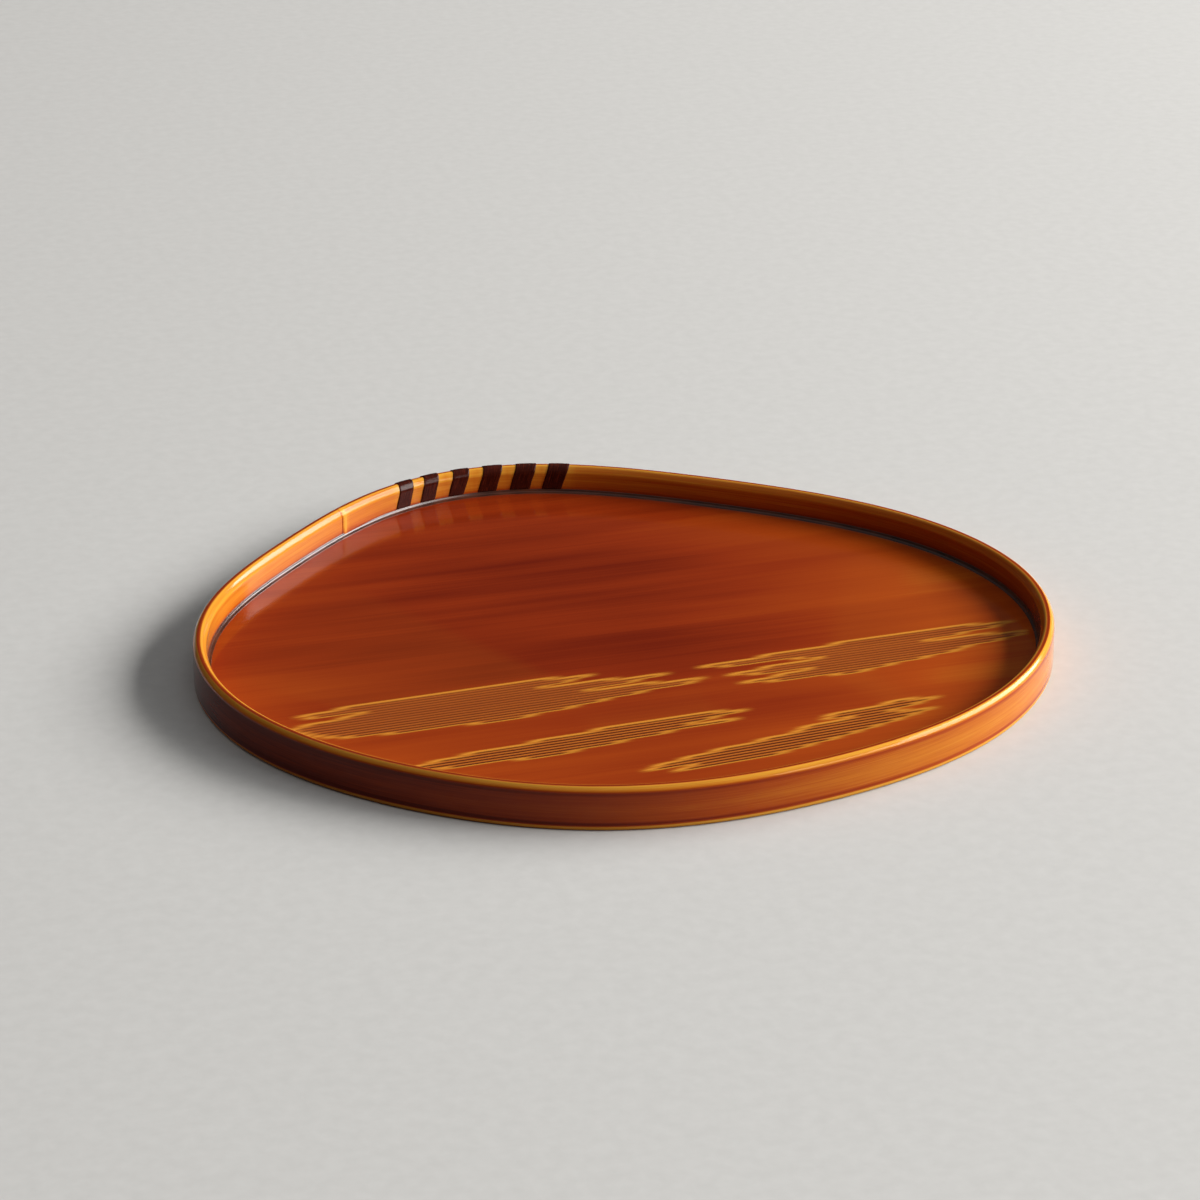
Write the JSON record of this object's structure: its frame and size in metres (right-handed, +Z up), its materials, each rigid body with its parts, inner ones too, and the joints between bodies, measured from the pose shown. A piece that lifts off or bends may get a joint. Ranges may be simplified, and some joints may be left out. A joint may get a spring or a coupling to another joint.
{
  "type": "serving tray",
  "caption": "Low bentwood serving tray: a flat floor shaped as a rounded, lopsided triangle inside an upright bevelled rim, its lapped ends stitched with dark bark straps.",
  "frame": {"origin": "middle of the tray seen from above, on the surface that it stands on", "axes": "+X along the grain of the floor, +Y towards the lapped and stitched end, +Z up"},
  "size_m": [0.3488, 0.3484, 0.0179],
  "materials": {
    "lacquered_board": "clear amber lacquer over straight-grained softwood, glossy, darker red in the middle",
    "lacquered_rim": "clear amber lacquer, glossy, thin and yellow on the edges and dark red beside them",
    "lacquered_filler": "dark filler under glossy lacquer",
    "lacquered_bark": "dark red-brown cherry bark under glossy lacquer"
  },
  "bodies": {
    "root": {"base_board": "lacquered_board", "rim_strip": "lacquered_rim", "corner_fillet": "lacquered_filler", "bark_strap_1": "lacquered_bark", "bark_strap_2": "lacquered_bark", "bark_strap_3": "lacquered_bark", "bark_strap_4": "lacquered_bark", "bark_strap_5": "lacquered_bark", "bark_strap_6": "lacquered_bark"}
  },
  "joints": []
}
